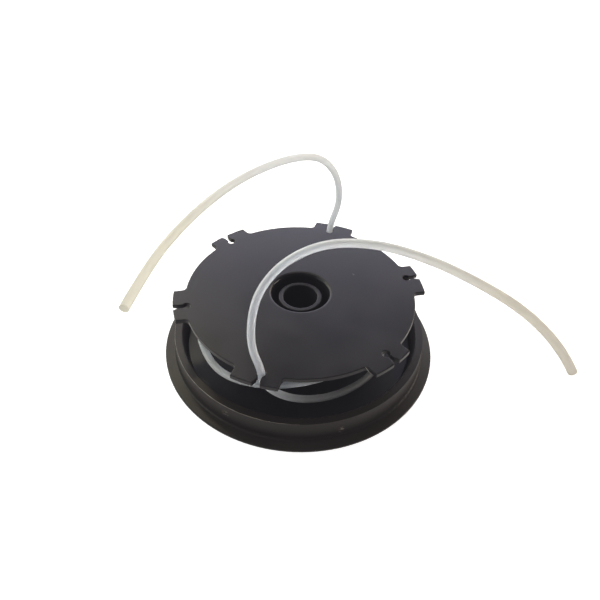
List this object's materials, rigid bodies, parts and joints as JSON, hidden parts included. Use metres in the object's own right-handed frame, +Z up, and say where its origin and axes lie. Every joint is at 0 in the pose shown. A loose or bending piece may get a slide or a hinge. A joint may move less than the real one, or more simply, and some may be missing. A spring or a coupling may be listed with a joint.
{
  "type": "trimmer head reel",
  "caption": "Wound reel of a tap-feed trimmer head standing in its cup-shaped tap cap, with nylon line ends parked in keyhole slits round the upper flange.",
  "frame": {"origin": "centre of the ground button's flat underside", "axes": "+Z up along the spindle bore, -Y towards the viewer of the picture"},
  "size_m": [0.1168, 0.1077, 0.0787],
  "materials": {
    "reel_nylon": "satin moulded, dark grey",
    "cap_nylon": "satin moulded, brownish black",
    "line_nylon": "extruded, translucent white"
  },
  "bodies": {
    "root": {"reel": "reel_nylon", "tap_cap": "cap_nylon", "line_winding": "line_nylon", "line_tail_front": "line_nylon", "line_tail_back": "line_nylon"}
  },
  "joints": []
}
